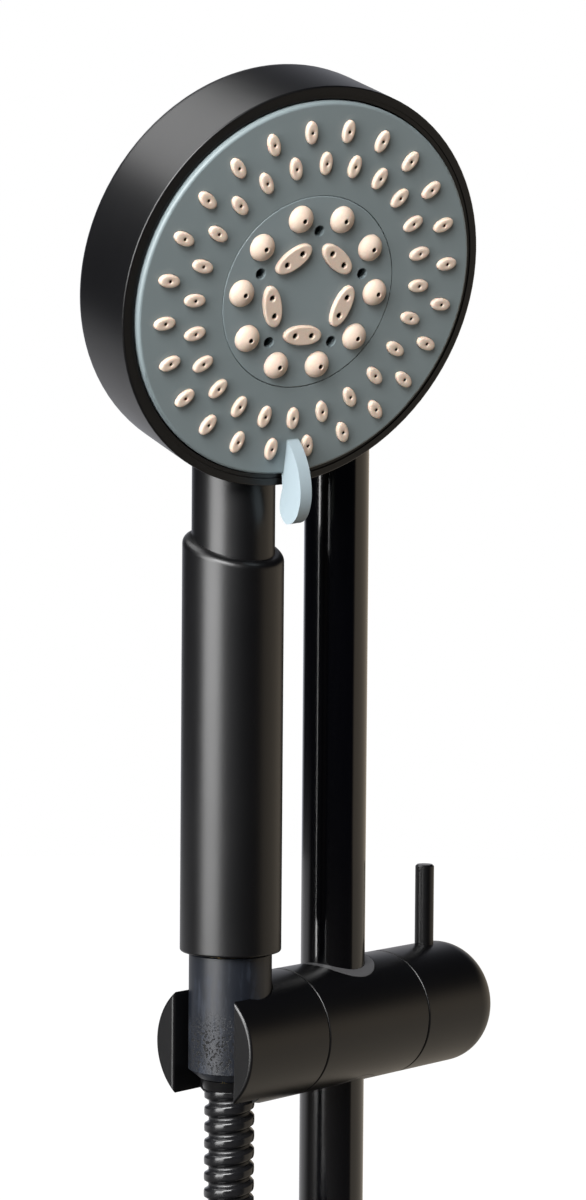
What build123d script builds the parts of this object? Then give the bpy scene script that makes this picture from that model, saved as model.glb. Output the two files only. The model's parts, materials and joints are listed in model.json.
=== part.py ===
"""Hand shower in a sliding bracket on a wall rail, with its flexible hose.

Millimetres, +Z up. The origin is on the wall, at the centre of the upper wall post:
X runs along the wall, +Y points into the wall and -Y into the room.
Each sub-part is one STEP file in parts/.
"""
import os
from math import cos, pi, radians, sin

from build123d import *

os.makedirs("parts", exist_ok=True)

# ---- driving dimensions -------------------------------------------------------------------
FIT = 0.05                  # radial play of a turned or sliding fit
CLEAR = 0.1                 # play of a part that drops into a hole
PAST = 1.0                  # how far a cutter reaches past the face it opens
GAP = 0.4                   # visible joint between neighbouring bracket pieces
EDGE_SOFT = 0.35            # rounding of the bracket's seam edges

RAIL_R = 9.25
RAIL_BORE_R = 8.05
RAIL_LENGTH = 500.0
RAIL_END = 15.0             # rail beyond each post's axis
RAIL_Y = -55.0              # rail axis to wall
POST_R = 8.0
POST_PITCH = RAIL_LENGTH - 2 * RAIL_END
PLUG_HEAD_T = 3.0           # end plug's head, outside the rail
PLUG_ROUND = 1.2
STUD_R = 3.0
STUD_REACH_BACK = 5.0       # post stud in front of and behind the rail's axis
STUD_REACH_WALL = 23.0
BASE_R = 20.0
BASE_T = 4.0
SPIGOT_R = 5.0
SPIGOT_LENGTH = 11.0
WALL_SCREW_PITCH = 28.0
WALL_SCREW_HOLE_R = 2.25
ROSETTE_R = 24.0
ROSETTE_DEPTH = 7.0
ROSETTE_ROUND = 1.5
ROSETTE_SIDE_T = 2.0
ROSETTE_FRONT_T = 1.6
POST_GRUB_Y = -BASE_T - 6   # screw through the post's underside on to the spigot

BRACKET_Y = RAIL_Y - 1.3    # bracket axis, just in front of the rail's
BRACKET_Z = -200.0
BRACKET_R = 17.9
BODY_X = (-23.1, 21.0)
KNOB_END_X = 56.9
KNOB_ROUND = 10.9
PIN_X = 40.2
PIN_R = 2.8
PIN_TOP = 41.6
BUSH_R = 12.05
BUSH_SEAM = 0.2             # open line between the bush and the body
SHOE_R = 6.0
KNOB_STUD_R = 5.0
PIVOT_R = 2.5
PIVOT_DEPTH = 8.0           # pivot hole in the body
PIVOT_HEAD = (4.4, -31.9, -29.0)    # radius, outer and inner face
KEY_R = 1.6                 # key hole in a screw's head
KEY_DEPTH = 1.7
WASHER_R = 8.0
WASHER_T = 1.28
INSERT_R = 8.0
INSERT_DEPTH = 5.4
STUD_REACH = 22.5           # clamp stud inside the knob, from the seam
KNOB_HOLLOW = (14.5, 9.0, 10.0)     # ring-shaped hollow: outer and inner radius, depth
PIN_ROOT = 9.0              # pin's foot above the bracket axis
KNOB_GRUB_OUT = -14.0       # outer end of the knob's grub screw
KNOB_GRUB_X = 36.0
GRUB_R = 2.0

HANDSET_X = -45.0           # handset axis from the rail's
CRADLE_END_X = -55.9
POCKET_R = 11.8
SLOT_WIDTH = 22.2
SEAT_TOP = -7.1             # conical seat of the pocket, from the bracket axis
SEAT_BOTTOM = -9.8
SEAT_R = 8.6

NUT_R = 11.5
NUT_TOP = 25.2
NUT_BOTTOM = -9.4
NUT_CHAMFER_TOP = -6.9
NUT_MOUTH_R = 8.45
NUT_SHELF_Z = -5.2          # floor of the nut's thread, above its mouth
NUT_BORE_R = 5.4            # hole for the swivel tail

NECK_R = 11.5
NECK_BORE_R = 9.5
GRIP_R = 14.05
GRIP_BOTTOM = 25.7
GRIP_TOP = 138.2            # on the axis, where the sloping top cut crosses it
GRIP_TOP_ROUND = 2.2
GRIP_FOOT_ROUND = 0.7
INLET_BORE_R = 6.0
RESTRICTOR_BORE_R = 2.4
WATER_TUBE = (7.0, 5.6, 30.0, 152.0)    # outer and bore radius, start and end
HUMP_Z = 172.0              # ball end of the neck behind the head

HEAD_SWIVEL = -14.0         # handset turned about its own axis, degrees
HEAD_PITCH = 20.5           # spray axis below level, degrees
HEAD_REACH = 37.0           # nozzle plane's centre in front of the handset axis
HEAD_Z = 204.7
HEAD_R = 55.3
HEAD_WALL = 2.2
HEAD_FRONT = -3.3           # heights along the spray axis, from the nozzle tips
HEAD_BACK = -29.3
HEAD_ROUND = 4.0
BEZEL_R = 51.9
FACE_R = 51.45
FACE_TOP = -1.9
FACE_T = 2.5
SEAM_R = 26.6
SELECTOR_TURN = 5.7         # selector ring from the handle's plane, degrees
CENTRE_TURN = -2.9          # centre pattern from the selector ring's, degrees
PLATE_R = 50.5
PLATE = (-14.0, -12.0)      # heights along the spray axis
PLATE_HUB_R = 7.0
PORTS = 5
PORT_R = 3.2
PORT_RING_R = 17.5
PORT_SEAL = (-11.9, -10.6)
SEAL_RINGS = ((22.5, 21.0), (14.0, 12.5))
AXLE_R = 2.0                # selector screw
AXLE_HEAD_R = 4.2
AXLE_SHOULDER = -8.4
DETENT_RING_R = 30.0
BALL_R = 1.5
DETENT_SPRING = (1.5, 0.9, -20.0, -13.4)    # outer and bore radius, start and end
DETENT_CUP = (2.6, 1.6, -21.0, -14.1)
DISTRIBUTOR_R = 49.3
DISTRIBUTOR = (-10.4, -8.5)
DISTRIBUTOR_RIMS = ((48.9, 47.0), (SEAM_R + 0.4, SEAM_R - 0.6))
MAT = (-6.4, -4.5)          # sheet of silicone that carries the nozzles
MAT_R = 48.8
INSERT_MAT_R = 25.6

OUTER_RING_R = 43.95
INNER_RING_R = 35.25
DOME_RING_R = 21.1
OVAL_RING_R = 11.65
HOLE_RING_R = 16.9
NOZZLES_PER_RING = 24
DOMES = 10
OVALS = 5
NOZZLE = (3.1, 1.75)        # half length along the radius, half width
NOZZLE_TIP = -0.5
DOME_R = 3.65
DOME_FOOT = -1.6            # where the round nozzle's side becomes its dome
DOME_LIFT = 1.9
OVAL = (2.7, 5.9)           # half width along the radius, half length
OVAL_TIP = -0.5
TWIN_JET_Y = 2.6
AIR_HOLE_R = 1.55
JET_R = 0.55
CUT = (-10.0, 4.0)          # through the face and everything in front of it
LEVER_T = 3.6
LEVER_TURN = 1.4            # lever from the nozzle line, degrees

HOSE_R = 7.0
HOSE_TOP = -12.5
SWIVEL_TOP = -2.8           # face of the swivel tail, under its washer
COIL_R = 70.0
COIL_TURNS = 3
COIL_PITCH = 14.6
COIL_Z = -140.0             # coil centre, from the bracket axis
TAIL_LENGTH = 60.0
END_NUT_AF = 24.0
END_NUT_LENGTH = 20.0
END_NUT_TOP = -3.2          # from the end of the hose
END_FACE = -8.0             # face of the far swivel tail
SWIVEL_R = 5.0
SWIVEL_BORE_R = 3.6
FLANGE_R = 9.4              # swivel tail's flange and the washer on it
FLANGE_T = 2.0
COLLAR = (5.1, 7.3, 8.2)    # bore, hose end and nut end radius
TIE_LENGTH = 12.0
TIE_T = 2.0
TIE_ROUND = 1.5
COIL_CLEAR = 0.3            # between the coil and what touches it
THREAD_BORE_R = 10.2        # pipe thread G 1/2, root of the female thread

BRACKET = Pos(0, BRACKET_Y, BRACKET_Z)
SOCKET = Pos(HANDSET_X, BRACKET_Y, BRACKET_Z)
HANDSET = Location((HANDSET_X, BRACKET_Y, BRACKET_Z), (0, 0, HEAD_SWIVEL))
SPRAY_AXIS = (0, -cos(radians(HEAD_PITCH)), -sin(radians(HEAD_PITCH)))
FACE = HANDSET * Plane((0, -HEAD_REACH, HEAD_Z), x_dir=(1, 0, 0), z_dir=SPRAY_AXIS).location
SELECTOR = FACE * Rot(0, 0, SELECTOR_TURN)
CENTRE = SELECTOR * Rot(0, 0, CENTRE_TURN)


# ---- helpers ------------------------------------------------------------------------------
def rod(radius, start, end, along="Z"):
    """Solid cylinder on an axis through the origin, from start to end."""
    solid = Cylinder(radius, end - start, align=(Align.CENTER, Align.CENTER, Align.MIN))
    solid = Pos(0, 0, start) * solid
    if along == "X":
        return Rot(0, 90, 0) * solid
    if along == "Y":
        return Rot(-90, 0, 0) * solid
    return solid


def soft_rod(radius, start, end):
    """Cylinder along X with softened end edges."""
    return fillet(rod(radius, start, end, "X").edges().filter_by(GeomType.CIRCLE), EDGE_SOFT)


def tube(outer, inner, start, end, along="Z"):
    """Hollow cylinder."""
    return rod(outer, start, end, along) - rod(inner, start - 1, end + 1, along)


def turned(*profile):
    """Solid of revolution about Z from (radius, height) points."""
    outline = Polyline(*[(radius, 0, height) for radius, height in profile], close=True)
    return revolve(make_face(outline), Axis.Z)


def upright(outline, start, end, taper=0.0):
    """Flat outline raised along Z from start to end."""
    return Pos(0, 0, start) * extrude(outline, end - start, taper=taper)


def around(shape, count, radius, first=0.0):
    """Copies of a shape on a circle, counted from the top, turned to face the centre."""
    angles = [90 + first + 360 * i / count for i in range(count)]
    return [Rot(0, 0, angle) * Pos(radius, 0, 0) * shape for angle in angles]


def save(node, *solids):
    """Write one sub-part, a single solid or a group of separate solids."""
    shape = solids[0] if len(solids) == 1 else Compound(children=list(solids))
    export_step(shape, f"parts/{node}.step")


# ---- wall rail ----------------------------------------------------------------------------
def wall_rail():
    """Rail tube, its end plugs, and two wall posts with their bases and rosettes."""
    bottom = RAIL_END - RAIL_LENGTH
    posts = (0.0, -POST_PITCH)
    rail = Pos(0, RAIL_Y, 0) * tube(RAIL_R, RAIL_BORE_R, bottom, RAIL_END)
    for z in posts:
        rail -= Pos(0, 0, z) * rod(STUD_R + 0.2, RAIL_Y, RAIL_Y + 2 * RAIL_R, "Y")
    save("rail_tube", rail)

    for name, z, side in (("upper", 0.0, 1), ("lower", -POST_PITCH, -1)):
        plug = rod(RAIL_BORE_R - FIT, -RAIL_END + 2 * PAST, RAIL_END)
        head = rod(RAIL_R, RAIL_END, RAIL_END + PLUG_HEAD_T)
        head = fillet(head.edges().sort_by(Axis.Z)[-1], PLUG_ROUND)
        plug = plug + head - rod(STUD_R + FIT, -RAIL_R, RAIL_R, "Y")
        plug = plug if side > 0 else Rot(180, 0, 0) * plug
        save(f"rail_plug_{name}", Pos(0, RAIL_Y, z) * plug)

        post = rod(POST_R, RAIL_Y, -BASE_T, "Y")
        post -= Pos(0, RAIL_Y, 0) * rod(RAIL_R + 0.02, -2 * POST_R, 2 * POST_R)
        post -= rod(STUD_R + FIT, RAIL_Y, RAIL_Y + STUD_REACH_WALL + PAST, "Y")
        post -= rod(SPIGOT_R + FIT, -BASE_T - SPIGOT_LENGTH - 0.5, -BASE_T, "Y")
        post -= Pos(0, POST_GRUB_Y, 0) * rod(GRUB_R + FIT, -2 * POST_R, -SPIGOT_R + PAST)
        save(f"wall_post_{name}", Pos(0, 0, z) * post)

        base = rod(BASE_R, -BASE_T, 0, "Y") + rod(SPIGOT_R, -BASE_T - SPIGOT_LENGTH, -BASE_T, "Y")
        for x in (-WALL_SCREW_PITCH / 2, WALL_SCREW_PITCH / 2):
            base -= Pos(x, 0, 0) * rod(WALL_SCREW_HOLE_R, -BASE_T - PAST, PAST, "Y")
        save(f"wall_base_{name}", Pos(0, 0, z) * base)

        cover = rod(ROSETTE_R, -ROSETTE_DEPTH, 0, "Y")
        cover = fillet(cover.edges().group_by(Axis.Y)[0], ROSETTE_ROUND)
        cover -= rod(ROSETTE_R - ROSETTE_SIDE_T, -ROSETTE_DEPTH + ROSETTE_FRONT_T, PAST, "Y")
        cover -= rod(POST_R + CLEAR, -ROSETTE_DEPTH - PAST, 0, "Y")
        save(f"wall_rosette_{name}", Pos(0, 0, z) * cover)

    stud = rod(STUD_R, RAIL_Y - STUD_REACH_BACK, RAIL_Y + STUD_REACH_WALL, "Y")
    save("post_studs", *[Pos(0, 0, z) * stud for z in posts])
    grub = Pos(0, POST_GRUB_Y, 0) * (rod(GRUB_R, -POST_R + 0.4, -SPIGOT_R - 0.02)
                                     - rod(GRUB_R / 2, -POST_R, -POST_R + 1.8))
    save("post_grub_screws", *[Pos(0, 0, z) * grub for z in posts])


# ---- sliding bracket ----------------------------------------------------------------------
def slider():
    """Bracket body, the bush round the rail, the clamp shoe, its insert and the pivot."""
    low, high = BODY_X[0] + GAP / 2, BODY_X[1] - GAP / 2
    rail_line = Pos(0, RAIL_Y - BRACKET_Y, 0)
    body = soft_rod(BRACKET_R, low, high)
    body -= rail_line * rod(BUSH_R + BUSH_SEAM, -2 * BRACKET_R, 2 * BRACKET_R)
    body -= rod(SHOE_R + FIT, 0, high + PAST, "X")
    body -= rod(INSERT_R + FIT, high - INSERT_DEPTH - CLEAR, high + PAST, "X")
    body -= rod(PIVOT_R + FIT, low - PAST, low + PIVOT_DEPTH, "X")
    save("slider_body", BRACKET * body)

    bush = rail_line * tube(BUSH_R, RAIL_R + 0.07, -2 * BRACKET_R, 2 * BRACKET_R)
    bush &= rod(BRACKET_R, low, high, "X")
    bush -= rod(SHOE_R + FIT, 0, high, "X")
    save("rail_bush", BRACKET * bush)

    shoe = rod(SHOE_R, 0, high - INSERT_DEPTH - 0.6, "X")
    shoe -= rail_line * rod(RAIL_R + 0.08, -BRACKET_R, BRACKET_R)
    save("clamp_shoe", BRACKET * shoe)
    save("clamp_insert", BRACKET * tube(INSERT_R, KNOB_STUD_R + FIT, high - INSERT_DEPTH, high, "X"))

    head_r, head_start, head_end = PIVOT_HEAD
    screw = rod(PIVOT_R, head_end, low + PIVOT_DEPTH - 0.5, "X") + rod(head_r, head_start, head_end, "X")
    screw -= rod(KEY_R, head_start - PAST, head_start + KEY_DEPTH, "X")
    save("pivot_screw", BRACKET * screw)
    washer = tube(WASHER_R, PIVOT_R + 0.3, low - 0.02 - WASHER_T, low - 0.02, "X")
    save("friction_washer", BRACKET * washer)


def lock_knob():
    """Clamp knob with a domed end, its threaded stud, grub screw and lever pin."""
    low = BODY_X[1] + GAP / 2
    knob = rod(BRACKET_R, low, KNOB_END_X, "X")
    knob = fillet(knob.edges().group_by(Axis.X)[-1], KNOB_ROUND)
    knob = fillet(knob.edges().group_by(Axis.X)[0], EDGE_SOFT)
    knob -= rod(KNOB_STUD_R + FIT, low - PAST, low + STUD_REACH, "X")
    outer, inner, depth = KNOB_HOLLOW
    knob -= tube(outer, inner, low - PAST, low + depth, "X")
    knob -= Pos(PIN_X, 0, 0) * rod(PIN_R + FIT, PIN_ROOT, 2 * BRACKET_R)
    knob -= Pos(KNOB_GRUB_X, 0, 0) * rod(GRUB_R + FIT, -2 * BRACKET_R, 0)
    save("lock_knob", BRACKET * knob)
    save("knob_stud", BRACKET * rod(KNOB_STUD_R, BODY_X[1] - INSERT_DEPTH, low + STUD_REACH - 0.5, "X"))
    pin = chamfer(rod(PIN_R, PIN_ROOT + 0.3, PIN_TOP).edges().sort_by(Axis.Z)[-1], 0.5)
    save("lever_pin", BRACKET * Pos(PIN_X, 0, 0) * pin)
    grub = rod(GRUB_R, KNOB_GRUB_OUT, -KNOB_STUD_R - 0.02)
    grub -= rod(GRUB_R / 2, KNOB_GRUB_OUT - PAST, KNOB_GRUB_OUT + 2 * PAST)
    save("knob_grub_screw", BRACKET * Pos(KNOB_GRUB_X, 0, 0) * grub)


def cradle():
    """Tilting holder: a slotted pocket with a conical seat for the hose nut."""
    high = BODY_X[0] - GAP / 2
    body = rod(BRACKET_R, CRADLE_END_X, high, "X")
    body = fillet(body.edges().group_by(Axis.X)[-1], EDGE_SOFT)
    slot = Pos(CRADLE_END_X - 5, 0, 0) * Box(
        HANDSET_X - CRADLE_END_X + 5, SLOT_WIDTH, 3 * BRACKET_R,
        align=(Align.MIN, Align.CENTER, Align.CENTER))
    body -= slot
    body = fillet(body.edges().group_by(Axis.X)[0], 0.8)
    pocket = turned((0, SEAT_TOP), (POCKET_R, SEAT_TOP), (POCKET_R, 2 * BRACKET_R), (0, 2 * BRACKET_R))
    seat = turned((0, SEAT_BOTTOM), (SEAT_R, SEAT_BOTTOM), (POCKET_R, SEAT_TOP), (0, SEAT_TOP))
    mouth = rod(SEAT_R, -2 * BRACKET_R, SEAT_BOTTOM)
    for hollow in (pocket, seat, mouth):
        body -= Pos(HANDSET_X, 0, 0) * hollow
    body -= rod(PIVOT_R + FIT, HANDSET_X, high + PAST, "X")
    body -= rod(PIVOT_HEAD[0] + 0.3, HANDSET_X, PIVOT_HEAD[2] + CLEAR, "X")
    body -= rod(WASHER_R + 0.2, high - 1.2, high + PAST, "X")
    save("cradle", BRACKET * body)


# ---- hose ---------------------------------------------------------------------------------
def hose():
    """Swivel tail, collar, the hanging run, the tied coil and the far-end nut."""
    tail = tube(SWIVEL_R, SWIVEL_BORE_R, HOSE_TOP, SWIVEL_TOP)
    tail += tube(FLANGE_R, SWIVEL_BORE_R, SWIVEL_TOP - FLANGE_T, SWIVEL_TOP)
    save("hose_swivel_tail", SOCKET * tail)
    bore, hose_end, nut_end = COLLAR
    collar = turned((bore, HOSE_TOP), (hose_end, HOSE_TOP), (nut_end, -9.7), (bore, -9.7))
    save("hose_collar", SOCKET * collar)
    save("hose_washer", SOCKET * tube(FLANGE_R, 4.0, SWIVEL_TOP + CLEAR, SWIVEL_TOP + FLANGE_T))

    run_length = HOSE_TOP - COIL_Z
    run = rod(HOSE_R, COIL_Z, HOSE_TOP)
    save("hose_run", SOCKET * run)
    print("hose run is straight, volume ratio", round(run.volume / (pi * HOSE_R ** 2 * run_length), 4))

    depth = COIL_TURNS * COIL_PITCH + 2 * HOSE_R
    coil = tube(COIL_R + HOSE_R, COIL_R - HOSE_R, HOSE_R - depth, HOSE_R, "Y")
    notch = Box(4 * HOSE_R, 2 * (HOSE_R + COIL_CLEAR), COIL_R, align=(Align.CENTER, Align.CENTER, Align.MIN))
    coil -= Pos(COIL_R, 0, 0) * notch
    coil -= Pos(COIL_R, -COIL_TURNS * COIL_PITCH, 0) * Rot(180, 0, 0) * notch
    save("hose_coil", SOCKET * Pos(-COIL_R, 0, COIL_Z) * coil)
    last = Pos(0, -COIL_TURNS * COIL_PITCH, COIL_Z)
    save("hose_tail", SOCKET * last * rod(HOSE_R, -TAIL_LENGTH, 0))
    print("hose length", round(run_length + COIL_TURNS * 2 * pi * COIL_R + TAIL_LENGTH))

    end = SOCKET * last * Pos(0, 0, -TAIL_LENGTH)
    collar_end = END_NUT_TOP + 0.2
    collar = turned((bore, 0), (hose_end, 0), (nut_end + 0.2, collar_end), (bore, collar_end))
    save("end_collar", end * collar)
    insert = tube(SWIVEL_R, SWIVEL_BORE_R, END_FACE, 0) + tube(9.6, SWIVEL_BORE_R, END_FACE, END_FACE + 1.8)
    save("end_swivel_tail", end * insert)
    nut = extrude(RegularPolygon(END_NUT_AF / 2, 6, major_radius=False), -END_NUT_LENGTH)
    nut = chamfer(nut.edges().group_by(Axis.Z)[0] + nut.edges().group_by(Axis.Z)[-1], 0.8)
    nut = Pos(0, 0, END_NUT_TOP) * nut
    nut -= rod(SWIVEL_R + FIT, END_FACE - 2, 0)
    nut -= rod(THREAD_BORE_R + 0.4, END_FACE - 2.2, END_FACE + 2)
    nut -= rod(THREAD_BORE_R, END_NUT_TOP - END_NUT_LENGTH - PAST, END_FACE - 2.2)
    save("end_nut", end * nut)
    save("end_washer", end * tube(9.6, 4.2, END_FACE - FLANGE_T - CLEAR, END_FACE - CLEAR))

    inside = (2 * (HOSE_R + COIL_CLEAR), depth + 2 * COIL_CLEAR, TIE_LENGTH + PAST)
    tie = Box(2 * (HOSE_R + TIE_T), depth + 2 * TIE_T, TIE_LENGTH) - Box(*inside)
    tie = fillet(tie.edges().filter_by(Axis.Z).group_by(SortBy.DISTANCE)[-1], TIE_ROUND)
    save("hose_tie", SOCKET * Pos(-2 * COIL_R, HOSE_R - depth / 2, COIL_Z) * tie)


# ---- handset ------------------------------------------------------------------------------
def handset():
    """Nut, inlet, water tube, grip sleeve and the head's housing with its fixed insides."""
    nut = turned((NUT_MOUTH_R, NUT_BOTTOM), (NUT_R, NUT_CHAMFER_TOP), (NUT_R, NUT_TOP),
                 (THREAD_BORE_R, NUT_TOP), (THREAD_BORE_R, NUT_SHELF_Z), (NUT_BORE_R, NUT_SHELF_Z),
                 (NUT_BORE_R, NUT_BOTTOM))
    nut = fillet(nut.edges().sort_by(Axis.Z)[-2:], 0.4)
    save("hose_nut", HANDSET * nut)
    inlet = tube(THREAD_BORE_R - CLEAR, INLET_BORE_R, -0.6, NUT_TOP - 0.6)
    inlet += tube(NECK_BORE_R - FIT, WATER_TUBE[0] + FIT, NUT_TOP - 0.6, 48)
    save("inlet_connector", HANDSET * inlet)
    save("flow_restrictor", HANDSET * tube(INLET_BORE_R - CLEAR, RESTRICTOR_BORE_R, 2, 6))
    save("water_tube", HANDSET * tube(*WATER_TUBE))

    slope = Plane((0, 0, GRIP_TOP), x_dir=(1, 0, 0),
                  z_dir=(0, -sin(radians(HEAD_PITCH)), cos(radians(HEAD_PITCH))))
    cutter = slope.location * Box(60, 60, 60, align=(Align.CENTER, Align.CENTER, Align.MIN))
    grip = rod(GRIP_R, GRIP_BOTTOM, GRIP_TOP + 20) - cutter
    grip = fillet(grip.edges().filter_by(GeomType.ELLIPSE), GRIP_TOP_ROUND)
    grip = fillet(grip.edges().group_by(Axis.Z)[0], GRIP_FOOT_ROUND)
    grip -= rod(NECK_R + FIT, 0, GRIP_TOP + 30)
    save("grip_sleeve", HANDSET * grip)

    puck = fillet(rod(HEAD_R, HEAD_BACK, HEAD_FRONT).edges().sort_by(Axis.Z)[0], HEAD_ROUND)
    puck = fillet(puck.edges().sort_by(Axis.Z)[-1], 0.5)
    neck = rod(NECK_R, GRIP_BOTTOM + 0.3, HUMP_Z) + Pos(0, 0, HUMP_Z) * Sphere(NECK_R)
    housing = FACE * puck + HANDSET * neck
    chamber = rod(HEAD_R - HEAD_WALL, HEAD_BACK + HEAD_WALL, HEAD_FRONT + 1)
    housing -= FACE * chamber
    housing -= HANDSET * rod(NECK_BORE_R, 0, HUMP_Z - 16)
    save("head_housing", housing)

    save("bezel_ring", FACE * tube(HEAD_R - HEAD_WALL - FIT, BEZEL_R, -8.0, HEAD_FRONT - 0.3))
    plate = rod(PLATE_R, *PLATE) + rod(PLATE_HUB_R, HEAD_BACK + HEAD_WALL, PLATE[1])
    for port in around(rod(PORT_R, PLATE[0] - PAST, PLATE[1] + PAST), PORTS, PORT_RING_R):
        plate -= port
    plate -= rod(AXLE_R + FIT, HEAD_BACK, PLATE[1] + PAST)
    plate -= Pos(DETENT_RING_R, 0, 0) * rod(BALL_R + 0.2, PLATE[0] - PAST, PLATE[1] + PAST)
    save("port_plate", FACE * plate)
    seal = Sketch() + [Circle(outer) - Circle(inner) for outer, inner in SEAL_RINGS]
    seal += Pos(PORT_RING_R, 0) * Rectangle(SEAL_RINGS[0][1] - SEAL_RINGS[1][0] + 1.6, 2.0)
    save("port_seal", FACE * Pos(0, 0, PORT_SEAL[0]) * extrude(seal, PORT_SEAL[1] - PORT_SEAL[0]))
    detent = FACE * Pos(DETENT_RING_R, 0, 0)
    save("detent_ball", detent * Pos(0, 0, PLATE[1]) * Sphere(BALL_R))
    save("detent_spring", detent * tube(*DETENT_SPRING))
    save("detent_cup", detent * tube(*DETENT_CUP))


def lever_outline():
    """Leaf-shaped lever seen edge-on: radius along X, height above the nozzle plane along Y."""
    back = Spline((41.2, -2.4), (44.4, 2.4), (49.3, 6.0), (55.5, 7.7), (61.0, 6.6), (64.3, 2.8))
    tip = Spline(back @ 1, (63.2, -0.6), (60.0, -1.9), (55.8, -1.5), (51.2, -2.6),
                 tangents=[back % 1, (-1.0, -0.25)])
    return back + tip + Line(tip @ 1, back @ 0)


def selector():
    """Turning spray face: ring with its lever, centre disc, nozzle mats and distributor."""
    top, under = FACE_TOP, FACE_TOP - FACE_T
    ring = fillet(rod(FACE_R, under, top).edges().sort_by(Axis.Z)[-1], 0.9)
    ring += tube(FACE_R - 0.3, FACE_R - 1.8, -8.4, under)
    ring -= rod(SEAM_R, *CUT)
    opening = upright(Ellipse(NOZZLE[0] + CLEAR, NOZZLE[1] + CLEAR), CUT[0], 0)
    nozzle = upright(Ellipse(*NOZZLE), MAT[0], NOZZLE_TIP, taper=2)
    rings = ((OUTER_RING_R, 7.5), (INNER_RING_R, 0.0))
    ring -= [hole for radius, first in rings for hole in around(opening, NOZZLES_PER_RING, radius, first)]
    blade = extrude(make_face(lever_outline()), LEVER_T / 2, both=True)
    ring += Rot(0, 0, LEVER_TURN - 90) * Rot(90, 0, 0) * blade
    save("selector_ring", SELECTOR * ring)

    mat = tube(MAT_R, SEAM_R + 0.6, *MAT)
    mat += [boss for radius, first in rings for boss in around(nozzle, NOZZLES_PER_RING, radius, first)]
    mat -= [jet for radius, first in rings
            for jet in around(rod(JET_R, *CUT), NOZZLES_PER_RING, radius, first)]
    save("nozzle_mat", SELECTOR * mat)

    step = 360 / DOMES
    disc = rod(SEAM_R - 0.15, under, top + 0.1)
    disc = fillet(disc.edges().sort_by(Axis.Z)[-1], 0.3)
    disc -= around(rod(DOME_R + CLEAR, *CUT), DOMES, DOME_RING_R, step / 2)
    oval_hole = upright(Ellipse(OVAL[0] + CLEAR, OVAL[1] + CLEAR), *CUT)
    disc -= around(oval_hole, OVALS, OVAL_RING_R, step)
    air_holes = around(rod(AIR_HOLE_R, *CUT), OVALS, HOLE_RING_R)
    disc -= air_holes
    save("centre_disc", CENTRE * disc)

    cap = Sphere(DOME_R) & rod(DOME_R + PAST, 0, DOME_LIFT)
    dome = rod(DOME_R, MAT[0], DOME_FOOT) + Pos(0, 0, DOME_FOOT) * cap
    oval = upright(Ellipse(*OVAL), MAT[0], OVAL_TIP)
    oval = fillet(oval.edges().group_by(Axis.Z)[-1], 0.6)
    insert = rod(INSERT_MAT_R, *MAT)
    insert += around(dome, DOMES, DOME_RING_R, step / 2) + around(oval, OVALS, OVAL_RING_R, step)
    insert -= around(rod(JET_R, *CUT), DOMES, DOME_RING_R, step / 2)
    twin_jets = [Pos(0, y, 0) * rod(JET_R, *CUT) for y in (-TWIN_JET_Y, TWIN_JET_Y)]
    for jet in twin_jets:
        insert -= around(jet, OVALS, OVAL_RING_R, step)
    insert -= air_holes
    save("centre_nozzle_mat", CENTRE * insert)

    distributor = rod(DISTRIBUTOR_R, *DISTRIBUTOR) - rod(AXLE_R + FIT, DISTRIBUTOR[0] - PAST, 0)
    for outer, inner in DISTRIBUTOR_RIMS:
        distributor += tube(outer, inner, DISTRIBUTOR[1], MAT[0] - CLEAR)
    port = rod(PORT_R, DISTRIBUTOR[0] - PAST, DISTRIBUTOR[1] + PAST)
    distributor -= around(port, PORTS, PORT_RING_R, 180 / PORTS)
    save("distributor", SELECTOR * distributor)
    axle = rod(AXLE_R, HEAD_BACK + 6, AXLE_SHOULDER) + rod(AXLE_HEAD_R, AXLE_SHOULDER, MAT[0] - 0.2)
    save("selector_screw", SELECTOR * (axle - rod(1.2, AXLE_SHOULDER + 0.4, MAT[0])))


wall_rail()
slider()
lock_knob()
cradle()
hose()
handset()
selector()
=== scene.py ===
"""Looks for the hand shower on its wall rail: finishes, ribbed hose, soft nozzles and a studio.

Everything is in metres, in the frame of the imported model.
"""
import json
from math import cos, pi, radians, sin

import bpy
import numpy as np
from mathutils import Matrix, Vector


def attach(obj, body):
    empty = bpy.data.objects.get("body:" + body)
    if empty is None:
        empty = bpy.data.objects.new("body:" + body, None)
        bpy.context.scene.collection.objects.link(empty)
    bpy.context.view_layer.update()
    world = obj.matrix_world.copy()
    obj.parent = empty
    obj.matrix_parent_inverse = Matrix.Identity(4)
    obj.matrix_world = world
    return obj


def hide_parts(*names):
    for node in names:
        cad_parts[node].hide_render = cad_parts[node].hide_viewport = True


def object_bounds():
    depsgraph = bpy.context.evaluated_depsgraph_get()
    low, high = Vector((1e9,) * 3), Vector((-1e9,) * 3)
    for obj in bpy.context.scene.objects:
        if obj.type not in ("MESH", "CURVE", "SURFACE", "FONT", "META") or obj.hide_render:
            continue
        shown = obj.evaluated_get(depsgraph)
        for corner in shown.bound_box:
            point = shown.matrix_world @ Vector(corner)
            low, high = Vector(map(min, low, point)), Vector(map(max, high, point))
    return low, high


bl_info = {
    "name": "Hand shower looks",
    "version": (1, 0, 0),
    "blender": (4, 5, 0),
    "location": "3D View > Sidebar > Shower",
    "description": "Finishes, hose, nozzles and studio for a hand shower on a rail",
    "category": "Object",
}

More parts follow.
